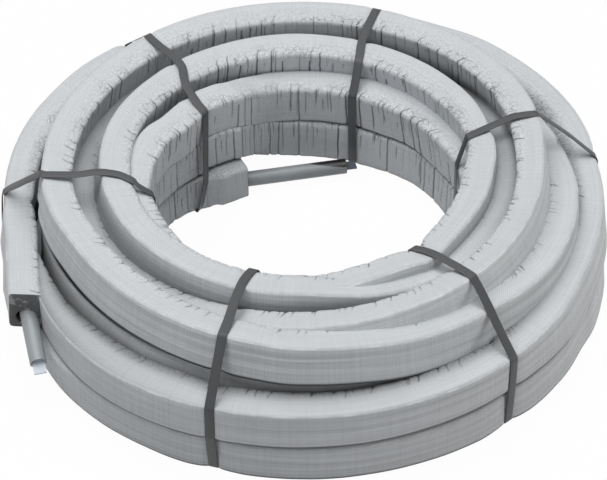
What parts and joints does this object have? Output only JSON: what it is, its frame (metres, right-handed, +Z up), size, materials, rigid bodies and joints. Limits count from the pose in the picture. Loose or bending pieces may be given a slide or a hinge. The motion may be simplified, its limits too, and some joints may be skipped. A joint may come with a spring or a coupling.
{
  "type": "insulated pipe coil",
  "caption": "Coil of plastic pipe in a rectangular foam jacket, wound in layers and held by flat straps, with plugged bare pipe ends.",
  "frame": {"origin": "on the coil's axis, at the floor it lies on", "axes": "+Z up along the coil's axis, +X to the viewer's right, -Y towards the viewer; the outer end leaves on the -X side and points to -Y"},
  "size_m": [0.7439, 0.744, 0.17],
  "materials": {
    "woven_skin": "woven film",
    "pipe_plastic": "satin",
    "plug_plastic": "satin",
    "strap_plastic": "satin"
  },
  "bodies": {
    "root": {"insulation_jacket": "woven_skin", "pipe": "pipe_plastic", "outer_plug": "plug_plastic", "inner_plug": "plug_plastic", "strap_1": "strap_plastic", "strap_2": "strap_plastic", "strap_3": "strap_plastic", "strap_4": "strap_plastic", "strap_5": "strap_plastic", "strap_6": "strap_plastic"}
  },
  "joints": []
}
